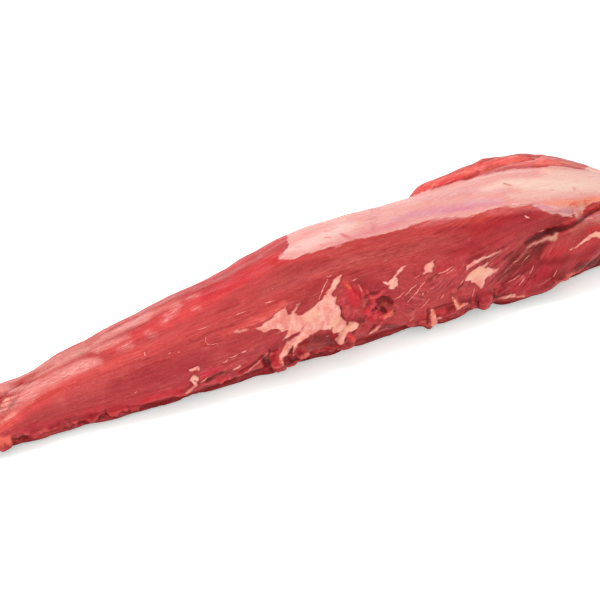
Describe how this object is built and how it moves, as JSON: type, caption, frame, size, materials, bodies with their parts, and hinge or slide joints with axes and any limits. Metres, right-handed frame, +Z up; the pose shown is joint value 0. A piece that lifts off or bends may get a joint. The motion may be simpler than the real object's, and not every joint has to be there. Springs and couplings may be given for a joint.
{
  "type": "whole raw beef tenderloin",
  "caption": "Whole raw beef tenderloin lying on its side: long muscle tapering from head to tail, wing muscles at the head, silverskin, torn fatty front edge.",
  "frame": {"origin": "on the board, below the middle of the piece's bounding box", "axes": "+X along the length from the thin tail to the thick head, -Y the front that the picture shows, +Z up from the board"},
  "size_m": [0.5798, 0.1246, 0.0721],
  "materials": {
    "meat": "moist raw beef: red muscle with long fibres, pale pink silverskin along the top and creamy fat patches, soft wet sheen",
    "fat": "creamy pink raw beef fat, in soft torn tags and shreds"
  },
  "bodies": {
    "root": {"tenderloin": "meat"}
  },
  "joints": []
}
